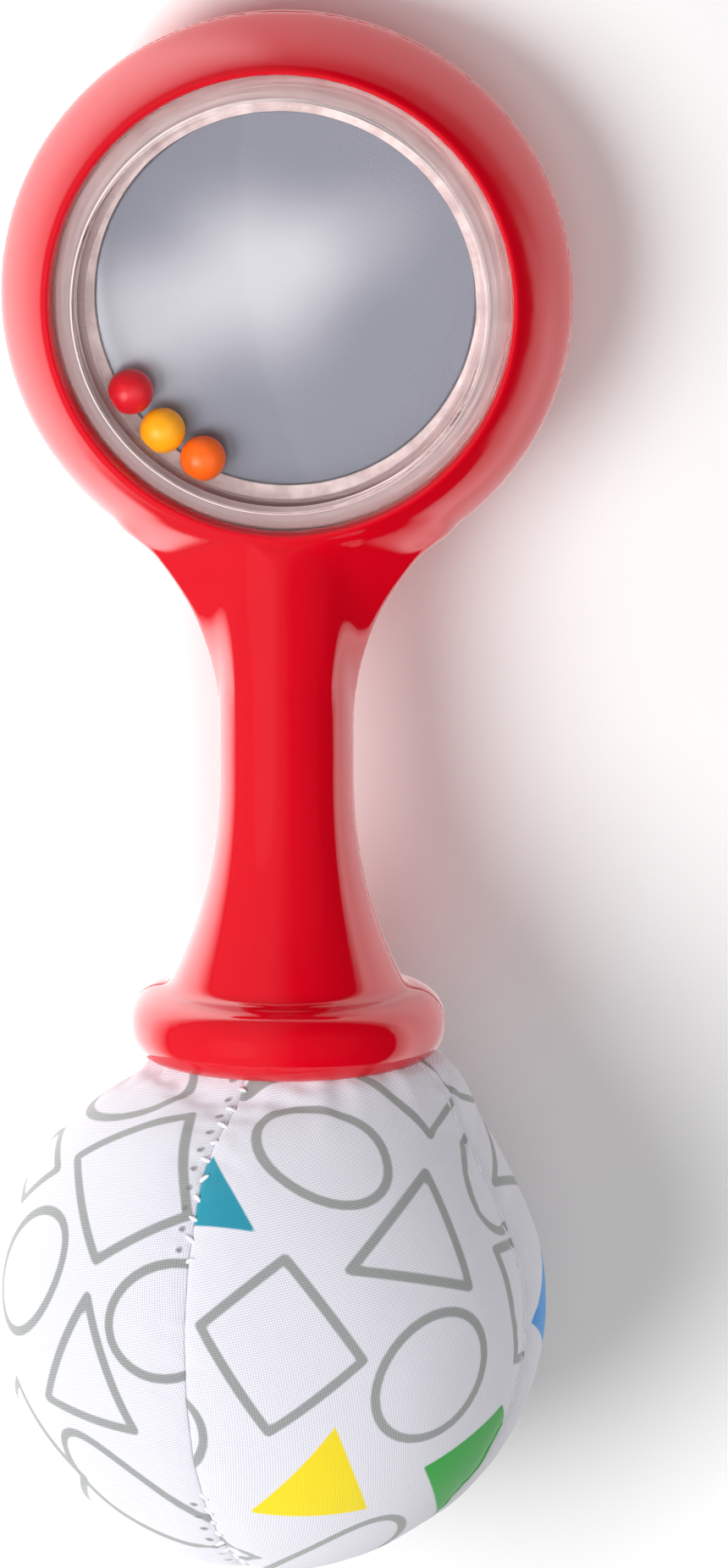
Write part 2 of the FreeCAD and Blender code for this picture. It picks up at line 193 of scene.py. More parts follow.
def mirror_film():
    """Baby-safe mirrored acrylic: silver-blue and hazy, with soft bright patches of painted reflection in its
    colour, brightest in the middle of the disc.
    """
    material, tree, surface = new_material("mirrored_acrylic_sheet")
    set_sockets(surface, Metallic=0.55, Roughness=0.25)
    place = add(tree, "ShaderNodeTexCoord").outputs["Object"]
    waves = add(tree, "ShaderNodeTexNoise", Vector=place, Scale=22.0, Detail=0.0)
    drift = add(tree, "ShaderNodeVectorMath", {"operation": "MULTIPLY_ADD"}, _0=waves.outputs[1],
                _1=(0.03, 0.03, 0.0), _2=place).outputs[0]
    haze_and_painted_reflection = 0.0
    for x, y, reach, strength in MIRROR_PAINTED_REFLECTIONS:
        middle = add(tree, "ShaderNodeVectorMath", {"operation": "DISTANCE"}, _0=drift,
                     _1=at(x, y, MIRROR_Z) + Vector((0.015, 0.015, 0)))
        reflection_patch = add(tree, "ShaderNodeMapRange", {"interpolation_type": "SMOOTHERSTEP"},
                    Value=middle.outputs["Value"], From_Min=reach * MM, From_Max=0.0).outputs[0]
        haze_and_painted_reflection = math_node(tree, "MULTIPLY_ADD", reflection_patch, strength, haze_and_painted_reflection, clamp=True)
    # Inside each patch the colour is lifted towards pale silver: painted reflection.
    colour = add(tree, "ShaderNodeMix", {"data_type": "RGBA"}, Factor=haze_and_painted_reflection)
    colour.inputs[6].default_value = shade("#858C98")
    colour.inputs[7].default_value = shade("#C2CAD0")
    tree.links.new(colour.outputs[2], surface.inputs["Base Color"])
    bump = add(tree, "ShaderNodeBump", Strength=0.6, Distance=0.002, Height=waves.outputs[0]).outputs[0]
    tree.links.new(bump, surface.inputs["Normal"])
    return material


def pale_tray():
    """Natural polypropylene: milky, mottled at random, dull from the mould; its pinkish tint is painted red
    light from the shell round it, and its faint glow is painted light.
    """
    material, tree, surface = new_material("natural_polypropylene_moulded")
    set_sockets(surface, Roughness=0.3, IOR=1.49)
    place = add(tree, "ShaderNodeTexCoord").outputs["Object"]
    mottle = add(tree, "ShaderNodeTexNoise", Vector=place, Scale=420.0, Detail=3.0, Roughness=0.6)
    share = add(tree, "ShaderNodeMapRange", Value=mottle.outputs[0], From_Min=0.35, From_Max=0.7)
    colour = add(tree, "ShaderNodeMix", {"data_type": "RGBA"}, Factor=share.outputs[0])
    # Greyish pink: the pink tint is painted red light thrown from the shell around the tray.
    colour.inputs[6].default_value = shade("#BCAEAC")
    colour.inputs[7].default_value = shade("#E4DAD8")
    # A faint pinkish glow, painted light: the tray is no lamp.
    surface.inputs["Emission Color"].default_value = shade("#E0D0CC")
    surface.inputs["Emission Strength"].default_value = 0.04
    tree.links.new(colour.outputs[2], surface.inputs["Base Color"])
    bump = add(tree, "ShaderNodeBump", Strength=0.2, Distance=0.0002, Height=mottle.outputs[0])
    tree.links.new(bump.outputs[0], surface.inputs["Normal"])
    return material


def bead_plastic(name, code, dark):
    """Small tumbled plastic bead: even colour, satin sheen, faint scuffing."""
    material, tree, surface = new_material(name)
    set_sockets(surface, IOR=1.5)
    place = add(tree, "ShaderNodeTexCoord").outputs["Object"]
    scuff = add(tree, "ShaderNodeTexNoise", Vector=place, Scale=1400.0, Detail=4.0).outputs[0]
    colour = add(tree, "ShaderNodeMix", {"data_type": "RGBA"}, Factor=scuff)
    colour.inputs[6].default_value = shade(dark)
    colour.inputs[7].default_value = shade(code)
    tree.links.new(colour.outputs[2], surface.inputs["Base Color"])
    rough = add(tree, "ShaderNodeMapRange", Value=scuff, To_Min=0.28, To_Max=0.42).outputs[0]
    tree.links.new(rough, surface.inputs["Roughness"])
    return material


def anchor_plastic():
    """White moulded polyethylene, waxy and soft-edged."""
    material, tree, surface = new_material("white_polyethylene_moulded")
    set_sockets(surface, Base_Color=shade("#E8E8E6"), Roughness=0.4, IOR=1.51)
    return material


def crinkled_film():
    """Thin cast polypropylene film, crumpled so that it rustles."""
    material, tree, surface = new_material("crinkled_polypropylene_film")
    set_sockets(surface, Base_Color=shade("#DCE0E6"), Roughness=0.12, IOR=1.49)
    place = add(tree, "ShaderNodeTexCoord").outputs["Object"]
    folds = add(tree, "ShaderNodeTexVoronoi", {"feature": "DISTANCE_TO_EDGE"}, Vector=place, Scale=180.0)
    bump = add(tree, "ShaderNodeBump", Strength=0.8, Distance=0.0008, Height=folds.outputs[0]).outputs[0]
    tree.links.new(bump, surface.inputs["Normal"])
    return material


def wadding():
    """Loose polyester fibre, white and fluffy."""
    material, tree, surface = new_material("polyester_fibre_wadding")
    set_sockets(surface, Roughness=1.0, Sheen_Weight=0.6)
    place = add(tree, "ShaderNodeTexCoord").outputs["Object"]
    tufts = add(tree, "ShaderNodeTexNoise", Vector=place, Scale=350.0, Detail=6.0).outputs[0]
    colour = add(tree, "ShaderNodeMix", {"data_type": "RGBA"}, Factor=tufts)
    colour.inputs[6].default_value = shade("#D8D8D8")
    colour.inputs[7].default_value = shade("#FAFAFA")
    tree.links.new(colour.outputs[2], surface.inputs["Base Color"])
    bump = add(tree, "ShaderNodeBump", Strength=0.7, Distance=0.001, Height=tufts).outputs[0]
    tree.links.new(bump, surface.inputs["Normal"])
    return material


def thread_polyester():
    """Spun polyester sewing thread: white, with the twist of its plies."""
    material, tree, surface = new_material("spun_polyester_thread")
    set_sockets(surface, Base_Color=shade("#F4F4F6"), Roughness=0.7, Sheen_Weight=0.3)
    place = add(tree, "ShaderNodeTexCoord").outputs["Object"]
    twist = add(tree, "ShaderNodeTexWave", {"bands_direction": "DIAGONAL"}, Vector=place, Scale=2500.0)
    bump = add(tree, "ShaderNodeBump", Strength=0.6, Distance=0.00005, Height=twist.outputs[1]).outputs[0]
    tree.links.new(bump, surface.inputs["Normal"])
    return material


# The cloth's thread spacing is 0.25 mm; the weave is drawn at 0.36 mm, so that it still shows.
WEAVE_MM = 0.36
STROKE_MM = 1.0
INK_EDGE_MM = 0.10
# Ink colours of the print, and the grey of the needle holes, which is painted shade.
INKS = {"hole": "#9A989C", "grey": "#8D928E", "teal": "#0A9CB4", "yellow": "#F6E200", "green": "#22AE38", "blue": "#2A9AE8"}


def printed_cloth():
    """Plain-woven polyester with transfer-printed outlines: every crossing of the weave painted brighter and the
    gaps between painted darker, a painted highlight and painted shade of the weave.
    """
    material, tree, surface = new_material("printed_woven_polyester")
    set_sockets(surface, Roughness=0.62, IOR=1.45, Sheen_Weight=0.08, Sheen_Roughness=0.4, Diffuse_Roughness=1.0)
    flat = add(tree, "ShaderNodeUVMap", {"uv_map": "cut"}).outputs[0]
    turned = add(tree, "ShaderNodeMapping", Vector=flat)
    turned.inputs["Rotation"].default_value = (0, 0, math.radians(32))
    turned.inputs["Scale"].default_value = [2 * math.pi * 100 / WEAVE_MM] * 3
    parts = add(tree, "ShaderNodeSeparateXYZ", Vector=turned.outputs[0])
    across = math_node(tree, "SINE", parts.outputs[0])
    along = math_node(tree, "SINE", parts.outputs[1])
    crossing = math_node(tree, "MULTIPLY", across, along)
    # The crossings' height drives the bump and the thinner ink on the crowns, and it also gives the painted
    # highlight and shade of the weave.
    weave_crowns_and_painted_shade = add(tree, "ShaderNodeMapRange", Value=crossing, From_Min=-1.0, From_Max=1.0).outputs[0]

    def ink_share(name, middle):
        gap = add(tree, "ShaderNodeAttribute", {"attribute_name": "ink_" + name}).outputs["Fac"]
        return add(tree, "ShaderNodeMapRange", Value=gap, From_Min=middle - INK_EDGE_MM,
                   From_Max=middle + INK_EDGE_MM, To_Min=1.0, To_Max=0.0).outputs[0]

    # The weave's crossings lighter and its gaps darker: painted highlight and painted shade, not two yarn
    # colours.
    cloth = add(tree, "ShaderNodeMix", {"data_type": "RGBA"}, Factor=weave_crowns_and_painted_shade)
    cloth.inputs[6].default_value = shade("#CFCED9")
    cloth.inputs[7].default_value = shade("#FBFAFF")
    colour = cloth.outputs[2]
    for name, code in INKS.items():
        share = ink_share(name, STROKE_MM / 2 if name == "grey" else 0.0)
        full, thin = (0.95, 0.62) if name == "grey" else (1.0, 0.93)
        cover = add(tree, "ShaderNodeMapRange", Value=weave_crowns_and_painted_shade, To_Min=full, To_Max=thin).outputs[0]
        worn = math_node(tree, "MULTIPLY", share, cover)
        mix = add(tree, "ShaderNodeMix", {"data_type": "RGBA"}, Factor=worn)
        tree.links.new(colour, mix.inputs[6])
        mix.inputs[7].default_value = shade(code)
        colour = mix.outputs[2]
    tree.links.new(colour, surface.inputs["Base Color"])
    bump = add(tree, "ShaderNodeBump", Strength=0.5, Distance=0.00005, Height=weave_crowns_and_painted_shade).outputs[0]
    tree.links.new(bump, surface.inputs["Normal"])
    return material


# ---------------------------------------------------------------- making and placing pieces


def smooth_step(value, low, high):
    share = min(max((value - low) / (high - low), 0.0), 1.0)
    return share * share * (3 - 2 * share)


def only(obj):
    bpy.ops.object.select_all(action="DESELECT")
    obj.select_set(True)
    bpy.context.view_layer.objects.active = obj


def apply_modifier(piece, kind, **settings):
    only(piece)
    modifier = piece.modifiers.new(kind.lower(), kind)
    for name, value in settings.items():
        setattr(modifier, name, value)
    bpy.ops.object.modifier_apply(modifier=modifier.name)


def upright_copy(node, name):
    """A merged copy of a CAD node, stood upright in the working frame in millimetres."""
    piece = NODES[node].copy()
    piece.data = NODES[node].data.copy()
    piece.name = name
    piece.parent = None
    bpy.context.scene.collection.objects.link(piece)
    piece.data.transform(PLACE.inverted())
    only(piece)
    bpy.ops.object.mode_set(mode="EDIT")
    bpy.ops.mesh.select_all(action="SELECT")
    bpy.ops.mesh.remove_doubles(threshold=0.001)
    bpy.ops.object.mode_set(mode="OBJECT")
    return piece


def lay(piece):
    """Move a piece from the working frame to where the frame has it."""
    piece.data.transform(PLACE)
    piece.data.update()
    return piece


def finish_piece(piece, material, body, slot, *nodes):
    piece.data.materials.clear()
    piece.data.materials.append(material)
    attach(piece, body)
    if nodes:
        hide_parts(*nodes)


def spun(name, outline, steps, bevel=0.0):
    """A closed outline of (radius, height) points, spun round the window's axis."""
    bpy.ops.object.select_all(action="DESELECT")
    mesh = bpy.data.meshes.new(name)
    piece = bpy.data.objects.new(name, mesh)
    bpy.context.scene.collection.objects.link(piece)
    mesh.from_pydata([(r, 0, z) for r, z in outline], [(i, i + 1) for i in range(len(outline) - 1)], [])
    only(piece)
    bpy.ops.object.mode_set(mode="EDIT")
    bpy.ops.mesh.select_all(action="SELECT")
    bpy.ops.mesh.spin(steps=steps, angle=2 * math.pi, center=(0, 0, 0), axis=(0, 0, 1))
    bpy.ops.mesh.select_all(action="SELECT")
    bpy.ops.mesh.remove_doubles(threshold=0.0005)
    bpy.ops.mesh.normals_make_consistent(inside=False)
    bpy.ops.object.mode_set(mode="OBJECT")
    if bevel:
        apply_modifier(piece, "BEVEL", width=bevel, segments=3, limit_method="ANGLE",
                       angle_limit=math.radians(25))
    only(piece)
    bpy.ops.object.shade_smooth_by_angle(angle=math.radians(35))
    return piece


# ---------------------------------------------------------------- red halves

VOXEL = 0.34
PARTING_BAND = 0.9
SHOULDER_EASING = 60
LIP_SLOPE = 1.04
NECK_T = 6.8
NECK_R = 25.9
STEM_R = 6.85
CREST = STEM_R * math.sqrt(0.5)


def flank_height(reach):
    """Height of the head's flank over the parting plane, by distance from the head's axis."""
    left = math.sqrt(min(max((HEAD_R - reach) / (HEAD_R - LIP_R), 0.0), 1.0))
    side_z = LIP_Z - (HEAD_R - LIP_R) * LIP_SLOPE
    return left * left * LIP_Z + 2 * left * (1 - left) * side_z


def oval_height(x, half_width, half_thick):
    return half_thick * math.sqrt(max(1 - (x / half_width) ** 2, 0.0))


def soft_max(first, second, ease):
    return (first + second + math.sqrt((first - second) ** 2 + ease ** 2)) / 2


def ease_neck(piece):
    """Carry the stem's round section up to the lip, with only a thin flare on either side."""
    centre_y = -math.sqrt((HEAD_R + NECK_R) ** 2 - (STEM_R + NECK_R) ** 2)
    meet_y = centre_y * HEAD_R / (HEAD_R + NECK_R)
    for vertex in piece.data.vertices:
        x, y, z = vertex.co
        reach = math.hypot(x, y)
        if z <= 0 or not centre_y < y < -12.0 or reach < LIP_R + 0.6:
            continue
        rise = min(y, meet_y) - centre_y
        half = STEM_R + NECK_R - math.sqrt(NECK_R ** 2 - rise ** 2)
        flank = flank_height(reach)
        was = max(flank, oval_height(x, half, NECK_T))
        outward = min(max((abs(x) - CREST) / (half - CREST), 0.0), 1.0)
        ease = 1.3 * (1 - smooth_step(-y, 32.0, 43.0)) + 0.01
        now = soft_max(oval_height(x, STEM_R, STEM_R), CREST * (1 - outward) ** 0.8, ease)
        now = soft_max(now, flank, ease)
        share = smooth_step(reach, LIP_R + 0.6, LIP_R + 1.8) * smooth_step(-y, 12.0, 20.0)
        if was > 0.05:
            vertex.co.z = z * (1 + (min(now / was, 1.05) - 1) * share)


def red_half(node, material):
    """A half shell whose valleys and edges are eased the way a mould's are."""
    piece = upright_copy(node, node + "_moulding")
    apply_modifier(piece, "REMESH", mode="VOXEL", voxel_size=VOXEL, use_smooth_shade=True)
    group = piece.vertex_groups.new(name="away_from_parting")
    for vertex in piece.data.vertices:
        share = min(max((abs(vertex.co.z) - 0.25) / PARTING_BAND, 0.0), 1.0)
        group.add([vertex.index], share, "REPLACE")
    apply_modifier(piece, "SMOOTH", factor=0.5, iterations=14, vertex_group=group.name)
    ease_neck(piece)
    group = piece.vertex_groups.new(name="shoulder")
    for vertex in piece.data.vertices:
        x, y, z = vertex.co
        reach = math.hypot(x, y)
        share = smooth_step(reach, LIP_R + 1.0, LIP_R + 2.6) * (1 - smooth_step(reach, 34.0, 40.0))
        share *= smooth_step(-y, 16.0, 22.0) * smooth_step(abs(z), 0.5, 2.0)
        group.add([vertex.index], share, "REPLACE")
    apply_modifier(piece, "SMOOTH", factor=0.5, iterations=SHOULDER_EASING, vertex_group=group.name)
    piece.vertex_groups.clear()
    only(piece)
    bpy.ops.object.shade_smooth_by_angle(angle=math.radians(50))
    lay(piece)
    finish_piece(piece, material, "root", "red_abs", node)


RED = red_abs()
for half in ("front_shell", "rear_shell"):
    red_half(half, RED)


# ---------------------------------------------------------------- window, mirror and beads

LENS_OUTLINE = [
    (0, 8.7), (20.9, 8.7), (21.2, 8.45), (21.55, 7.75), (22.05, 7.5), (22.75, 6.5), (23.2, 5.5),
    (23.2, 4.2), (25.0, 4.2), (25.0, 2.6), (22.9, 2.6), (22.9, 0.75), (20.75, 0.75), (20.75, 5.9),
    (19.9, 6.7), (0, 6.7),
]


def window():
    piece = spun("window_moulding", LENS_OUTLINE, 144, bevel=0.1)
    lay(piece)
    finish_piece(piece, clear_window(), "root", "clear_window", "window_lens")


def tray():
    outline = [(0, -1.5), (25.6, -1.5), (25.6, 2.55), (22.96, 2.55), (22.96, 0.7), (19.45, 0.7),
               (19.45, -0.3), (0, -0.3)]
    piece = spun("mirror_tray", outline, 144, bevel=0.12)
    lay(piece)
    finish_piece(piece, pale_tray(), "root", "pale_tray", "mirror_carrier")


def mirror():
    NODES["mirror_disc"].data.materials.clear()
    NODES["mirror_disc"].data.materials.append(mirror_film())


def bead(node, body, material):
    """A bead with the slight flat band that its mould's parting leaves."""
    low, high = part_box(node)
    centre = (low + high) / 2
    radius = (high.z - low.z) / 2
    bpy.ops.object.select_all(action="DESELECT")
    bpy.ops.mesh.primitive_uv_sphere_add(segments=64, ring_count=32, radius=radius)
    piece = bpy.context.object
    piece.name = node + "_ball"
    for vertex in piece.data.vertices:
        seam = math.exp(-(vertex.co.z / (0.04 * radius)) ** 2)
        vertex.co *= 1 - 0.004 * seam
    piece.data.transform(Matrix.Rotation(0.6, 4, "X") @ Matrix.Rotation(0.4, 4, "Y"))
    piece.data.transform(Matrix.Translation(centre))
    bpy.ops.object.shade_smooth()
    finish_piece(piece, material, body, node, node)


def hidden_parts():
    """The anchor, tie, film and fill inside the ball, each in its own material."""
    for node, material in (("ball_anchor", anchor_plastic()), ("mouth_tie", thread_polyester()),
                           ("crinkle_film", crinkled_film()), ("fibre_fill", wadding())):
        NODES[node].data.materials.clear()
        NODES[node].data.materials.append(material)


window()
tray()
mirror()
hidden_parts()
bead("bead_red", "red_bead", bead_plastic("red_bead_polystyrene", "#D01424", "#BC0C1C"))
bead("bead_yellow", "yellow_bead", bead_plastic("yellow_bead_polystyrene", "#F8B010", "#EC9C08"))
bead("bead_orange", "orange_bead", bead_plastic("orange_bead_polystyrene", "#F46A10", "#E65C08"))


# ---------------------------------------------------------------- fabric ball

FIRST_SEAM = -14.5
PRINT_TURN = -2.5
GORES = ("ball_panel_front", "ball_panel_right", "ball_panel_back", "ball_panel_left")
SEAMS = ("seam_thread_front_left", "seam_thread_front_right",
         "seam_thread_back_right", "seam_thread_back_left")
COLUMNS = 48
ROWS = 104
SHOULDER = math.radians(48)
NECK_POINTS = ((15.55, 22.65), (12.75, 24.2), (11.5, 28.2))
SHOULDER_BULGE = 2.6
SHOULDER_FALL = 0.5
POLE_R = 0.5
STITCH_MM = 2.4
CLOTH_T = 0.35
SIM_SCALE = 0.01


def neck_curve(share):
    """The ball's outline from its shoulder up into the collar, as (radius, height)."""
    points = [(BALL_R * math.cos(SHOULDER), BALL_R * math.sin(SHOULDER))] + list(NECK_POINTS)
    left = 1 - share
    weights = (left ** 3, 3 * left * left * share, 3 * left * share * share, share ** 3)
    return [sum(w * p[axis] for w, p in zip(weights, points)) for axis in (0, 1)]


def outline_points():
    """Rows of the ball's outline from the bottom pole to the mouth: (radius, height, length)."""
    low = -math.pi / 2 + POLE_R / BALL_R
    lengths = []
    points = []
    sphere_rows = round(ROWS * 0.86)
    for row in range(sphere_rows + 1):
        latitude = low + (SHOULDER - low) * row / sphere_rows
        points.append((BALL_R * math.cos(latitude), BALL_R * math.sin(latitude)))
        lengths.append(BALL_R * latitude)
    for row in range(1, ROWS - sphere_rows + 1):
        points.append(tuple(neck_curve(row / (ROWS - sphere_rows))))
        lengths.append(lengths[-1] + math.dist(points[-1], points[-2]))
    return points, lengths


OUTLINE, LENGTHS = outline_points()


def column_share(column):
    """Where a column lies across its gore, from -1 to 1, with more columns near the seams."""
    even = 2 * column / COLUMNS - 1
    return 0.45 * even + 0.55 * math.sin(math.pi * even / 2)


def skin_point(row, angle, inset=0.0):
    """A point of the unstuffed skin, in the ball's own frame; its mouth is centred on the collar."""
    radius, height = OUTLINE[row]
    radius = max(radius - inset, 0.2)
    lean = -BALL_X * smooth_step(height, 17.0, 25.0)
    facing_right = max(math.sin(angle), 0.0) ** 2
    under_collar = 1 - 0.7 * smooth_step(height, 24.8, 26.6)
    radius += facing_right * (SHOULDER_BULGE * under_collar * math.exp(-((height - 24.0) / 4.5) ** 2)
                              - SHOULDER_FALL * math.exp(-((height - 11.0) / 4.0) ** 2))
    return Vector((radius * math.sin(angle) + lean, height, radius * math.cos(angle)))


def stuffed_skin():
    """The whole skin swelled by its stuffing, with its seams, pole and mouth held: rows of points."""
    points = []
    faces = []
    around = 4 * COLUMNS
    held = []
    for row in range(ROWS + 1):
        for step in range(around):
            gore, column = divmod(step, COLUMNS)
            share = column_share(column)
            angle = math.radians(FIRST_SEAM + 90 * gore + 45 * (share + 1))
            on_seam = column == 0
            pull = -0.05 + 0.05 * math.cos(2 * math.pi * LENGTHS[row] / STITCH_MM)
            points.append(skin_point(row, angle, pull if on_seam else -0.2) * SIM_SCALE)
            if on_seam or row < 2 or OUTLINE[row][1] > 25.0:
                held.append(len(points) - 1)
            if row:
                after = (step + 1) % around
                faces.append(((row - 1) * around + step, (row - 1) * around + after,
                              row * around + after, row * around + step))
    mesh = bpy.data.meshes.new("stuffing")
    mesh.from_pydata(points, [], faces)
    piece = bpy.data.objects.new("stuffing", mesh)
    bpy.context.scene.collection.objects.link(piece)
    swell(piece, held)
    grown = []
    for number, (start, vertex) in enumerate(zip(points, piece.data.vertices)):
        moved = (vertex.co - start) / SIM_SCALE
        row, step = divmod(number, around)
        gap = (1 - abs(column_share(step % COLUMNS))) * math.pi / 4 * OUTLINE[row][0]
        cap = min(SWELL_CAP, 0.05 + SEAM_HOLD * gap)
        if moved.length > cap:
            moved *= cap / moved.length
        grown.append(start / SIM_SCALE + moved)
    bpy.data.objects.remove(piece)
    return [grown[row * around:(row + 1) * around] for row in range(ROWS + 1)]


SWELL_CAP = 0.8
SEAM_HOLD = 0.14
GROWTH = 0.02


def swell(piece, held):
    group = piece.vertex_groups.new(name="held")
    group.add(held, 1.0, "REPLACE")
    only(piece)
    cloth = piece.modifiers.new("cloth", "CLOTH")
    settings = cloth.settings
    settings.quality = 6
    settings.mass = 0.2
    settings.tension_stiffness = 12
    settings.compression_stiffness = 12
    settings.shear_stiffness = 4
    settings.bending_stiffness = 0.15
    settings.shrink_min = -GROWTH
    settings.use_pressure = True
    settings.uniform_pressure_force = 4
    settings.vertex_group_mass = group.name
    settings.effector_weights.gravity = 0
    scene = bpy.context.scene
    scene.frame_start = 1
    scene.frame_end = 20
    cloth.point_cache.frame_start = 1
    cloth.point_cache.frame_end = 20
    for step in range(1, 21):
        scene.frame_set(step)
    only(piece)
    bpy.ops.object.modifier_apply(modifier=cloth.name)
    scene.frame_set(1)


# The print, drawn on each flat gore: the gore's middle is (0, 0), across then up, in mm.
# An oval is its middle, its half sizes and its turn in degrees; the rest are corner points.
FRONT_PRINT = [
    ("grey", "oval", (-3.2, 20.5), (5.2, 7.0), 55),
    ("grey", "oval", (6.2, -3.6), (6.0, 7.2), 131),
    ("grey", "oval", (19.0, 15.1), (5.2, 5.8), 0),
    ("grey", "oval", (1.6, -29.0), (5.0, 8.4), 153),
    ("grey", "corners", (7.7, 17.2), (-2.9, 8.1), (10.8, 5.0)),
    ("grey", "corners", (-9.2, 9.5), (-2.0, -1.0), (-11.0, -8.3), (-18.4, 2.6)),
    ("grey", "corners", (-9.9, 28.3), (-3.7, 31.1), (1.4, 30.6), (9.2, 21.3), (17.0, 27.0), (14.0, 34.0)),
    ("grey", "corners", (16.1, 7.8), (25.2, 7.5), (27.9, -4.4), (18.9, -3.8)),
    ("grey", "oval", (-22.0, -10.3), (4.6, 5.2), 0),
    ("grey", "corners", (-15.8, -22.5), (-6.9, -29.0), (-10.7, -33.9), (-17.7, -28.0)),
    ("teal", "corners", (-14.3, 20.6), (-20.9, 12.8), (-11.7, 12.2)),
    ("yellow", "corners", (-4.4, -7.9), (-10.9, -18.8), (1.3, -19.2)),
    ("green", "corners", (17.1, -8.3), (6.5, -14.0), (14.5, -24.8), (23.1, -15.4)),
]
LEFT_PRINT = [
    ("grey", "corners", (1.7, 17.7), (10.0, 24.9), (19.1, 13.7), (11.3, 8.0)),
    ("grey", "corners", (-6.8, 19.0), (-0.5, 15.8), (-6.5, 11.2), (-16.5, 14.0)),
    ("grey", "corners", (11.2, 4.3), (4.0, -7.3), (15.5, -9.1)),
    ("grey", "corners", (-12.8, -12.9), (-3.3, -6.9), (3.9, -16.6), (-3.2, -22.2)),
    ("grey", "oval", (-2.3, 27.1), (8.5, 5.0), 0),
    ("grey", "oval", (0.3, 5.2), (5.4, 7.4), 136),
    ("grey", "oval", (20.7, 2.8), (5.9, 6.5), 112),
    ("grey", "oval", (9.6, -18.9), (5.1, 9.0), -151),
    ("blue", "corners", (-11.0, 5.5), (-8.7, -6.5), (-19.0, -1.0)),
    ("yellow", "corners", (-2.6, -24.0), (0.1, -30.3), (-9.0, -30.0)),
]
# Needle holes beside the hand-closed stretches of the front left seam, drawn as small grey discs of painted
# shade.
HOLE_INSET = 1.05
HOLE_R = 0.33
LADDER_PITCH = 2.2
LADDER_RUNS = ((9.0, 31.0), (-33.0, -17.5))


def needle_holes():
    holes = []
    for low, high in LADDER_RUNS:
        for step in range(int((high - low) / LADDER_PITCH)):
            rise = low + (step + 0.5) * LADDER_PITCH
            seam = math.radians(45 - PRINT_TURN) * BALL_R * math.cos(rise / BALL_R)
            holes.append(("hole", "oval", (seam - HOLE_INSET, rise), (HOLE_R, HOLE_R), 0))
    return holes


LEFT_PRINT += needle_holes()
PRINTS = (FRONT_PRINT, LEFT_PRINT, FRONT_PRINT, LEFT_PRINT)
FAR = 99.0


def on_sphere(across, up):
    """A flat gore's point, as a point of a round ball with that gore's middle in front."""
    latitude = up / BALL_R
    longitude = across / (BALL_R * max(math.cos(latitude), 0.05)) + math.radians(PRINT_TURN)
    reach = BALL_R * math.cos(latitude)
    return (reach * math.sin(longitude), BALL_R * math.sin(latitude), reach * math.cos(longitude))


def shape_corners(kind, place, *rest):
    if kind == "corners":
        return [on_sphere(*corner) for corner in (place,) + rest]
    half, turn = rest
    turn = math.radians(turn)
    corners = []
    for step in range(32):
        angle = 2 * math.pi * step / 32
        x, y = half[0] * math.cos(angle), half[1] * math.sin(angle)
        corners.append(on_sphere(place[0] + x * math.cos(turn) - y * math.sin(turn),
                                 place[1] + x * math.sin(turn) + y * math.cos(turn)))
    return corners


def shape_gaps(corners, spots, right, up, out):
    """Signed distance in mm from each spot to a closed shape, seen from straight above the spot."""
    ends = np.array(corners)
    gaps = np.full(len(spots), FAR)
    near = (out @ ends.mean(0)) > 0.3 * BALL_R
    base = spots[near]
    flat = [np.stack([((end - base) * axis[near]).sum(1) for axis in (right, up)], 1) for end in ends]
    inside = np.zeros(len(base), bool)
    best = np.full(len(base), FAR)
    for start, end in zip(flat, flat[1:] + flat[:1]):
        edge = end - start
        share = np.clip(-(start * edge).sum(1) / (edge * edge).sum(1), 0, 1)
        best = np.minimum(best, np.linalg.norm(start + edge * share[:, None], axis=1))
        crosses = (start[:, 1] > 0) != (end[:, 1] > 0)
        rise = np.where(crosses, end[:, 1] - start[:, 1], 1.0)
        meets = start[:, 0] - start[:, 1] * edge[:, 0] / rise
        inside ^= crosses & (meets > 0)
    gaps[near] = np.where(inside, -best, best)
    return gaps


def ink(mesh, across, up, shapes):
    """Each ink's signed distance at every vertex, as attributes that the cloth's colour reads."""
    latitude = up / BALL_R
    longitude = across
    out = np.stack([np.cos(latitude) * np.sin(longitude), np.sin(latitude),
                    np.cos(latitude) * np.cos(longitude)], 1)
    right = np.stack([np.cos(longitude), np.zeros(len(out)), -np.sin(longitude)], 1)
    upward = np.cross(out, right)
    spots = out * BALL_R
    for name in INKS:
        nearest = np.full(len(spots), FAR)
        for shape in shapes:
            if shape[0] == name:
                gaps = shape_gaps(shape_corners(*shape[1:]), spots, right, upward, out)
                if name == "grey":
                    gaps = np.abs(gaps)
                nearest = np.where(np.abs(gaps) < np.abs(nearest), gaps, nearest)
        attribute = mesh.attributes.new("ink_" + name, "FLOAT", "POINT")
        attribute.data.foreach_set("value", nearest.astype(np.float32))


LIP_WIDTH = 1.0
LIP_RISE = 0.2


def seam_relief(gap, length, phase, lipped):
    """Height of the cloth beside a seam: a valley, a soft roll and a pucker at every stitch.

    On a topstitched side the seam allowance makes a raised lip, with a groove under its stitches."""
    valley = -0.16 * np.exp(-(gap / 0.3) ** 2) - 0.08 * np.exp(-(gap / 1.4) ** 2)
    roll = 0.06 * np.exp(-((gap - 1.3) / 0.6) ** 2)
    depth = 0.6 + 0.4 * np.sin(length * 0.43 + phase)
    pucker = 0.07 * depth * np.cos(2 * np.pi * length / STITCH_MM) * np.exp(-gap / 1.8)
    creases = 0.07 * np.sin(length * 0.9 + phase * 2.1) * np.exp(-gap / 4.5)
    lip = LIP_RISE / (1 + np.exp((gap - LIP_WIDTH) / 0.07))
    groove = -0.12 * np.exp(-((gap - LIP_WIDTH - 0.25) / 0.2) ** 2)
    return valley + roll + pucker + creases + np.where(lipped, lip + groove, 0.0)


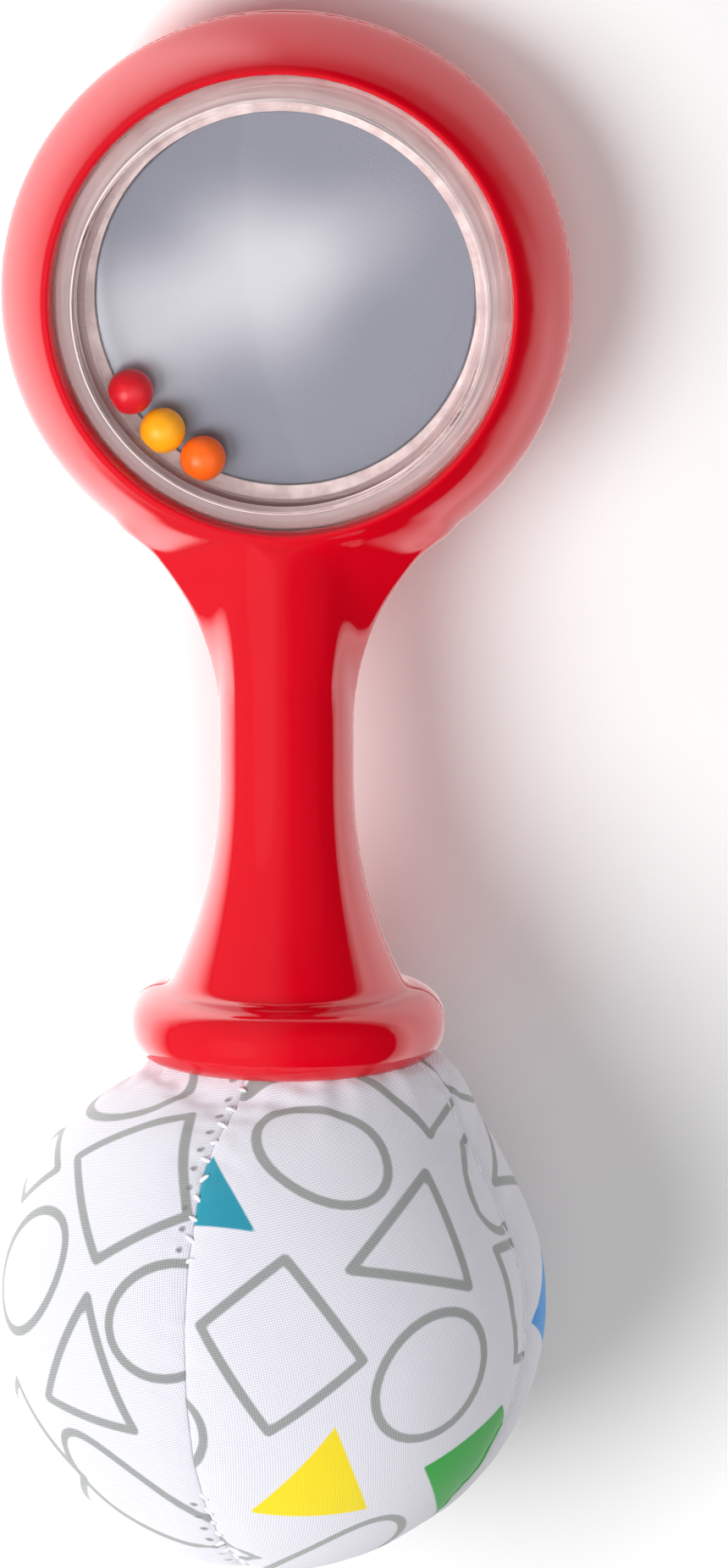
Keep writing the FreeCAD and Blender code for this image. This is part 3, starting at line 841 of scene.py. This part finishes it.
def gore(number, rows, material):
    name = GORES[number]
    points = []
    faces = []
    flat = []
    longitudes = []
    for row in range(ROWS + 1):
        for column in range(COLUMNS + 1):
            step = (number * COLUMNS + column) % (4 * COLUMNS)
            points.append(rows[row][step])
            longitude = math.radians(45 * column_share(column))
            longitudes.append(longitude)
            across = longitude * OUTLINE[row][0]
            flat.append((across, LENGTHS[row]))
            if row and column:
                here = row * (COLUMNS + 1) + column
                faces.append((here - 1, here - COLUMNS - 2, here - COLUMNS - 1, here))
    mesh = bpy.data.meshes.new(name + "_cloth")
    mesh.from_pydata(points, [], faces)
    piece = bpy.data.objects.new(name + "_cloth", mesh)
    bpy.context.scene.collection.objects.link(piece)
    for label, values in (("turn", longitudes), ("rise", [spot[1] for spot in flat])):
        attribute = mesh.attributes.new(label, "FLOAT", "POINT")
        attribute.data.foreach_set("value", values)
    layer = mesh.uv_layers.new(name="cut")
    for loop in mesh.loops:
        layer.data[loop.index].uv = Vector(flat[loop.vertex_index]) * 0.01
    apply_modifier(piece, "SUBSURF", levels=1, render_levels=1)
    mesh = piece.data
    count = len(mesh.vertices)
    turn, rise, place, out = (np.zeros(count * size, np.float32) for size in (1, 1, 3, 3))
    mesh.attributes["turn"].data.foreach_get("value", turn)
    mesh.attributes["rise"].data.foreach_get("value", rise)
    mesh.vertices.foreach_get("co", place)
    mesh.vertices.foreach_get("normal", out)
    place, out = place.reshape(-1, 3), out.reshape(-1, 3)
    waist = BALL_R * np.cos(np.clip(rise / BALL_R, -1.55, 1.1))
    gap = np.maximum((math.pi / 4 - np.abs(turn)) * waist, 0)
    side = np.where(turn < 0, number, (number + 1) % 4)
    height = seam_relief(gap, rise, side * 1.7, (turn > 0) & (number != 3))
    whole_turn = turn + math.radians(FIRST_SEAM + 45 + 90 * number)
    gathers = np.clip((rise - 19.0) / 9.0, 0, 1) ** 2 * np.clip((33.5 - rise) / 3.0, 0, 1)
    height += 0.11 * gathers * (np.cos(19 * whole_turn + 0.6) + 0.6 * np.cos(31 * whole_turn + 2.0))
    pole = np.clip((-34.0 - rise) / 8.0, 0, 1)
    height += 0.12 * pole * np.cos(16 * whole_turn) - 0.3 * pole ** 4
    height += 0.10 * np.sin(place[:, 0] * 0.31 + 1) * np.sin(place[:, 1] * 0.27) * np.sin(place[:, 2] * 0.33 + 2)
    outward = place / np.linalg.norm(place, axis=1)[:, None]
    place = place + outward * height[:, None]
    mesh.vertices.foreach_set("co", place.astype(np.float32).ravel())
    ink(mesh, turn, rise, PRINTS[number])
    for label in ("turn", "rise"):
        mesh.attributes.remove(mesh.attributes[label])
    skin = (place + (BALL_X, BALL_Y, 0), [tuple(face.vertices) for face in mesh.polygons])
    piece.data.transform(Matrix.Translation((BALL_X, BALL_Y, 0)))
    apply_modifier(piece, "SOLIDIFY", thickness=CLOTH_T, offset=-1.0)
    only(piece)
    bpy.ops.object.shade_smooth()
    lay(piece)
    finish_piece(piece, material, "root", "ball_fabric", name)
    return skin


def ball():
    """The four gores, and their outer surface as a tree that stitches are laid on."""
    rows = stuffed_skin()
    cloth = printed_cloth()
    points = []
    faces = []
    for number in range(4):
        more, outlines = gore(number, rows, cloth)
        faces += [[index + len(points) for index in outline] for outline in outlines]
        points += [Vector(point) for point in more]
    return BVHTree.FromPolygons(points, faces)


SKIN = ball()


# ---------------------------------------------------------------- stitches

THREAD_R = 0.16
TOPSTITCH_START = -9.0


def on_skin(longitude, rise):
    """The point of the ball's cloth at a longitude and a length up the gore, and its normal."""
    row = max(range(ROWS + 1), key=lambda number: -abs(LENGTHS[number] - rise))
    guess = skin_point(row, longitude) + Vector((BALL_X, BALL_Y, 0))
    guess.y += (rise - LENGTHS[row]) * math.cos(LENGTHS[row] / BALL_R)
    spot, normal, index, gap = SKIN.find_nearest(guess)
    return spot, normal


def thread_bead():
    """One visible stitch: a short fat capsule, as points and faces about the origin along X."""
    bpy.ops.object.select_all(action="DESELECT")
    bpy.ops.mesh.primitive_uv_sphere_add(segments=8, ring_count=6, radius=1.0)
    master = bpy.context.object
    points = [Vector((v.co.z, v.co.x, v.co.y)) for v in master.data.vertices]
    faces = [tuple(reversed(face.vertices)) for face in master.data.polygons]
    if points[faces[0][0]].dot(normal_of(points, faces[0])) < 0:
        faces = [tuple(reversed(face)) for face in faces]
    bpy.data.objects.remove(master)
    return points, faces


def normal_of(points, face):
    return (points[face[1]] - points[face[0]]).cross(points[face[2]] - points[face[0]])


BEAD_POINTS, BEAD_FACES = thread_bead()


def stitch(points, faces, middle, along, out, length, radius):
    """Lay one stitch, sunk a little into the cloth at both ends."""
    along = (along - out * along.dot(out)).normalized()
    across = out.cross(along)
    start = len(points)
    for spot in BEAD_POINTS:
        sag = 0.35 * radius * spot.x ** 2
        lie = along * (spot.x * length / 2) + across * (spot.y * radius) + out * (spot.z * radius - sag)
        points.append(middle + lie)
    faces.extend(tuple(start + index for index in face) for face in BEAD_FACES)


def ladder_stitches(longitude, points, faces):
    """Hand-closed stretches: short slanted stitches that cross the seam."""
    count = 0
    for low, high in LADDER_RUNS:
        for step in range(int((high - low) / LADDER_PITCH) + 1):
            rise = low + step * LADDER_PITCH
            middle, out = on_skin(longitude, rise)
            above, _ = on_skin(longitude, rise + 0.6)
            up = (above - middle).normalized()
            slant = up * (0.5 * math.sin(2.4 * count) + 0.25) + out.cross(up) * (1 if count % 2 else -1)
            stitch(points, faces, middle + out * 0.12, slant, out, 1.45 + 0.3 * math.sin(1.9 * count),
                   THREAD_R * 1.5)
            count += 1


def topstitches(longitude, points, faces):
    """A row of short stitches in the groove beside the lip."""
    rise = TOPSTITCH_START
    count = 0
    while rise < 27.0:
        radius = BALL_R * math.cos(min(rise / BALL_R, 0.85))
        inset = (LIP_WIDTH + 0.25) / max(radius, 3.0)
        middle, out = on_skin(longitude - inset, rise)
        above, _ = on_skin(longitude - inset, rise + 0.8)
        stitch(points, faces, middle + out * 0.03, above - middle, out,
               1.35 + 0.15 * math.sin(2.3 * count), THREAD_R)
        rise += STITCH_MM * 0.95
        count += 1


def seam_stitches():
    thread = thread_polyester()
    for number, node in enumerate(SEAMS):
        points, faces = [], []
        longitude = math.radians(FIRST_SEAM + 90 * number)
        if number:
            topstitches(longitude, points, faces)
        else:
            ladder_stitches(longitude, points, faces)
            pole = Vector((BALL_X, BALL_Y - BALL_R + 0.42, 0))
            stitch(points, faces, pole, Vector((1, 0, 0)), Vector((0, -1, 0)), 1.9, 0.75)
        mesh = bpy.data.meshes.new(node.replace("seam_thread", "seam_stitches"))
        mesh.from_pydata(points, [], faces)
        piece = bpy.data.objects.new(mesh.name, mesh)
        bpy.context.scene.collection.objects.link(piece)
        only(piece)
        bpy.ops.object.shade_smooth()
        lay(piece)
        finish_piece(piece, thread, "root", "sewing_thread", node)


seam_stitches()


# ---------------------------------------------------------------- stage, light and camera


TABLE_GLOW = 1.35
TABLE_GLOW_IN_GLOSS = 0.45
TABLE_NEAR = 0.09
SWEEP_TURN = math.radians(-25)
BACKDROP = 0.85
TABLE_FAR = 0.32


def stage():
    """A white sheet with light painted into it: it glows brightest around the rattle and on its left, and its
    colour darkens with distance, as painted falloff of light.
    """
    bpy.ops.mesh.primitive_plane_add(size=6.0, location=(0, 0, 0))
    floor = bpy.context.object
    floor.name = "floor"
    material, tree, surface = new_material("studio_table_painted_light")
    set_sockets(surface, Roughness=0.6)
    surface.inputs["Emission Color"].default_value = shade("#FFFFFF")
    place = add(tree, "ShaderNodeTexCoord").outputs["Object"]
    away = add(tree, "ShaderNodeVectorMath", {"operation": "LENGTH"}, _0=place).outputs["Value"]
    near = add(tree, "ShaderNodeMapRange", {"interpolation_type": "SMOOTHSTEP"}, Value=away,
               From_Min=TABLE_FAR, From_Max=TABLE_NEAR).outputs[0]
    heading = add(tree, "ShaderNodeVectorMath", {"operation": "NORMALIZE"}, _0=place).outputs[0]
    facing = add(tree, "ShaderNodeVectorMath", {"operation": "DOT_PRODUCT"}, _0=heading,
                 _1=(math.cos(SWEEP_TURN), math.sin(SWEEP_TURN), 0)).outputs["Value"]
    swept = add(tree, "ShaderNodeMapRange", {"interpolation_type": "SMOOTHSTEP"}, Value=facing,
                From_Min=0.6, From_Max=0.9).outputs[0]
    painted_light_share = math_node(tree, "MAXIMUM", near, swept)
    # Paler near the rattle and in a swept band, greyer far off: painted falloff of light.
    colour = add(tree, "ShaderNodeMix", {"data_type": "RGBA"}, Factor=painted_light_share)
    colour.inputs[6].default_value = shade("#C4C4C4")
    colour.inputs[7].default_value = shade("#FCFCFC")
    tree.links.new(colour.outputs[2], surface.inputs["Base Color"])
    across = add(tree, "ShaderNodeSeparateXYZ", Vector=place).outputs[0]
    left = add(tree, "ShaderNodeMapRange", {"interpolation_type": "SMOOTHSTEP"}, Value=across,
               From_Min=-0.006, From_Max=-0.035).outputs[0]
    close = add(tree, "ShaderNodeMapRange", {"interpolation_type": "SMOOTHSTEP"}, Value=across,
                From_Min=-0.16, From_Max=-0.04).outputs[0]
    beside = math_node(tree, "MULTIPLY", left, close)
    # A glow close to the left of the rattle: painted light, the sheet is no lamp.
    lit = math_node(tree, "MULTIPLY", math_node(tree, "MULTIPLY", near, beside), TABLE_GLOW)
    beyond = math_node(tree, "SUBTRACT", 1.0, near)
    # Far off, the sheet glows more for rays straight from the camera: painted light.
    direct = add(tree, "ShaderNodeLightPath").outputs["Is Camera Ray"]
    fill = math_node(tree, "MULTIPLY", math_node(tree, "MULTIPLY", beyond, direct), BACKDROP * 0.6)
    # A glow along the swept band beyond the rattle: painted light.
    distant = add(tree, "ShaderNodeMapRange", Value=away, From_Min=0.07, From_Max=0.12, To_Max=0.35)
    sweep = math_node(tree, "MULTIPLY", swept, distant.outputs[0])
    # A glow near the rattle that only glossy rays see: painted reflection of a bright table.
    gloss = add(tree, "ShaderNodeLightPath").outputs["Is Glossy Ray"]
    glow_in_gloss = math_node(tree, "MULTIPLY", math_node(tree, "MULTIPLY", near, gloss), TABLE_GLOW_IN_GLOSS)
    glow = math_node(tree, "ADD", math_node(tree, "ADD", lit, sweep), math_node(tree, "ADD", fill, glow_in_gloss))
    tree.links.new(glow, surface.inputs["Emission Strength"])
    floor.data.materials.append(material)


WALL_GLOW = 0.2
# Each box: azimuth from +X towards +Y, elevation, distance, width across and watts.
KEY_BOX = (188, 56, 0.55, 0.38, 2.75)
FILL_BOX = (15, 62, 0.9, 1.2, 4.4)


def soft_box(name, azimuth, elevation, distance, size, watts):
    """A round soft box. It lights, but isn't seen in the gloss."""
    lamp = bpy.data.lights.new(name, "AREA")
    lamp.shape = "DISK"
    lamp.size = size
    lamp.energy = watts
    holder = bpy.data.objects.new(name, lamp)
    bpy.context.scene.collection.objects.link(holder)
    turn, rise = math.radians(azimuth), math.radians(elevation)
    away = Vector((math.cos(turn) * math.cos(rise), math.sin(turn) * math.cos(rise), math.sin(rise)))
    holder.location = at(0, -50, 0) + away * distance
    holder.rotation_euler = (-away).to_track_quat("-Z", "Y").to_euler()
    holder.visible_glossy = False


def surroundings():
    """A pale wall glowing evenly to the left, fading out just past overhead into a dark room."""
    world = bpy.data.worlds.new("studio")
    world.use_nodes = True
    tree = world.node_tree
    way = add(tree, "ShaderNodeTexCoord").outputs["Generated"]
    side = add(tree, "ShaderNodeSeparateXYZ", Vector=way).outputs[0]
    glow = add(tree, "ShaderNodeMapRange", {"interpolation_type": "SMOOTHSTEP"}, Value=side,
               From_Min=0.27, From_Max=-0.3, To_Min=0.004, To_Max=WALL_GLOW).outputs[0]
    direct = add(tree, "ShaderNodeLightPath").outputs["Is Camera Ray"]
    shown = add(tree, "ShaderNodeMapRange", Value=direct, To_Max=BACKDROP)
    tree.links.new(glow, shown.inputs["To Min"])
    background = tree.nodes["Background"]
    background.inputs[0].default_value = (1, 1, 1, 1)
    tree.links.new(shown.outputs[0], background.inputs[1])
    bpy.context.scene.world = world


VIEW_TILT = 10.4
VIEW_SIDE = 4.3
VIEW_AIM = (7.9, -50.4, 0)
VIEW_DISTANCE = 2500
VIEW_HEIGHT = 159.7
VIEW_ROLL = 0.0


def camera():
    """A long lens above the window, a little towards the head and the right."""
    tilt, side = math.radians(VIEW_TILT), math.radians(VIEW_SIDE)
    towards = Vector((math.sin(side), math.sin(tilt), 0))
    towards.z = math.sqrt(1 - towards.x ** 2 - towards.y ** 2)
    aim = Vector(VIEW_AIM)
    eye = aim + towards * VIEW_DISTANCE
    up = Vector((0, 1, 0))
    back = (PLACE.to_3x3() @ towards).normalized()
    right = (PLACE.to_3x3() @ up).cross(back).normalized()
    upward = back.cross(right)
    turn = Matrix((right, upward, back)).transposed()
    turn = turn @ Matrix.Rotation(math.radians(VIEW_ROLL), 3, "Z")
    lens = bpy.data.cameras.new("view")
    lens.sensor_fit = "VERTICAL"
    lens.sensor_height = 24
    lens.lens = 24 * VIEW_DISTANCE / VIEW_HEIGHT
    lens.clip_end = 100
    holder = bpy.data.objects.new("view", lens)
    bpy.context.scene.collection.objects.link(holder)
    holder.matrix_world = Matrix.Translation(PLACE @ eye) @ turn.to_4x4()
    bpy.context.scene.camera = holder


stage()
soft_box("key_softbox", *KEY_BOX)
soft_box("fill_softbox", *FILL_BOX)
surroundings()
camera()
bpy.context.scene.view_settings.view_transform = "Standard"
